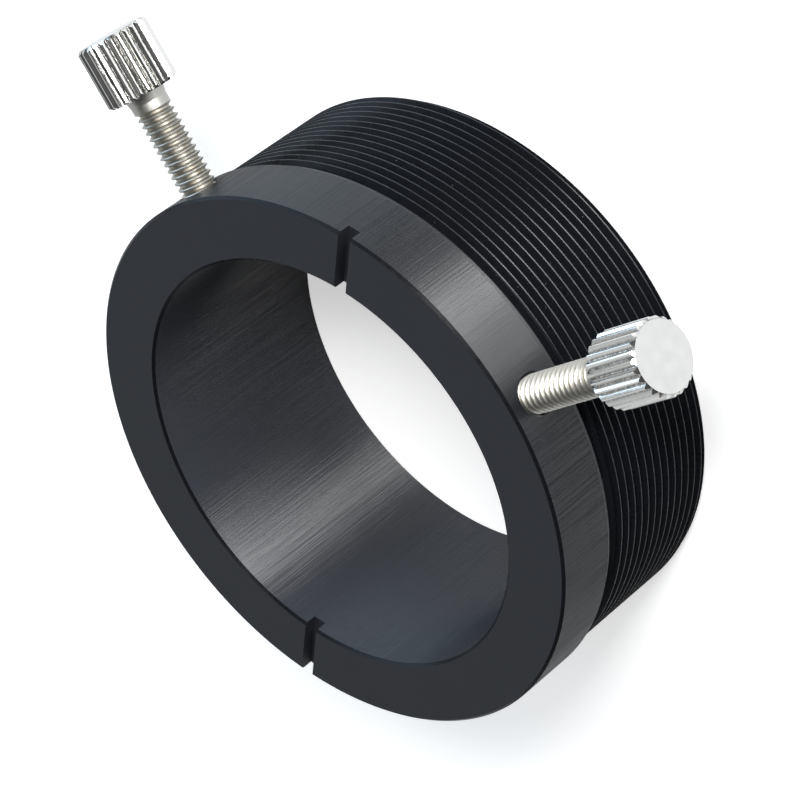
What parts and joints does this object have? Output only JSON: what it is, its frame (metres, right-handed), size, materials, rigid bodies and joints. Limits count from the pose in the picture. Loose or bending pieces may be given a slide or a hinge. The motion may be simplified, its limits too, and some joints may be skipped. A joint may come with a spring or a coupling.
{
  "type": "eyepiece adapter",
  "caption": "Flanged black ring with a plain bore, a male thread, a spanner slot across its face and knurled radial thumbscrews.",
  "frame": {"origin": "centre of the bore in the face of the threaded end, which the ring stands on", "axes": "+Z along the bore from the threaded end to the flange's slotted face, +X along the side thumbscrew, -Y along the front thumbscrew"},
  "size_m": [0.0856, 0.0864, 0.0269],
  "materials": {
    "ring": "black anodised, satin",
    "screws": "bright plated"
  },
  "bodies": {
    "ring": {"adapter_body": "ring"},
    "front_screw": {"thumbscrew_front": "screws"},
    "side_screw": {"thumbscrew_side": "screws"}
  },
  "joints": [
    {"name": "front_screw_travel", "type": "slide", "parent": "ring", "child": "front_screw", "axis": [0, -1, 0], "range_m": [-0.0118, 0.0035]},
    {"name": "side_screw_travel", "type": "slide", "parent": "ring", "child": "side_screw", "axis": [1, 0, 0], "range_m": [-0.011, 0.0043]}
  ]
}
